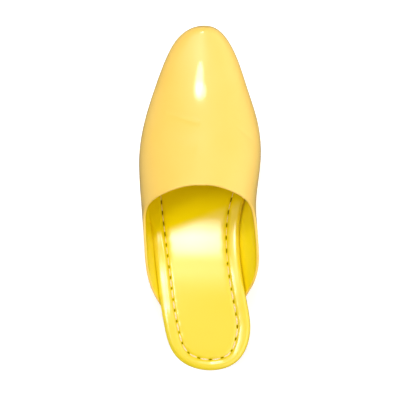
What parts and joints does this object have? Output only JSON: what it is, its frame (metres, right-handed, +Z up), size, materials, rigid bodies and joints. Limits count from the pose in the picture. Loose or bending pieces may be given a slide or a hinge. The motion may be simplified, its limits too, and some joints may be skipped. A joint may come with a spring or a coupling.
{
  "type": "slipper",
  "caption": "Backless slip-on leather slipper with an almond toe, low side wings, a padded wrapped insole with a stitched rim, and a flat sole with a low heel, left foot.",
  "frame": {"origin": "on the floor, under the middle of the slipper's bounding box", "axes": "+Y from heel to toe, +X towards the inner (medial) side of the left foot, +Z up from the floor"},
  "size_m": [0.0946, 0.268, 0.0653],
  "materials": {
    "upper_leather": "smooth pale yellow calf, polished to a semi-gloss",
    "insole_leather": "lemon yellow glazed kid, semi-gloss",
    "sole_leather": "tan sole leather, waxed, satin",
    "heel_leather": "tan sole leather, waxed, satin"
  },
  "bodies": {
    "root": {"upper": "upper_leather", "insole": "insole_leather", "outsole": "sole_leather", "heel": "heel_leather"}
  },
  "joints": []
}
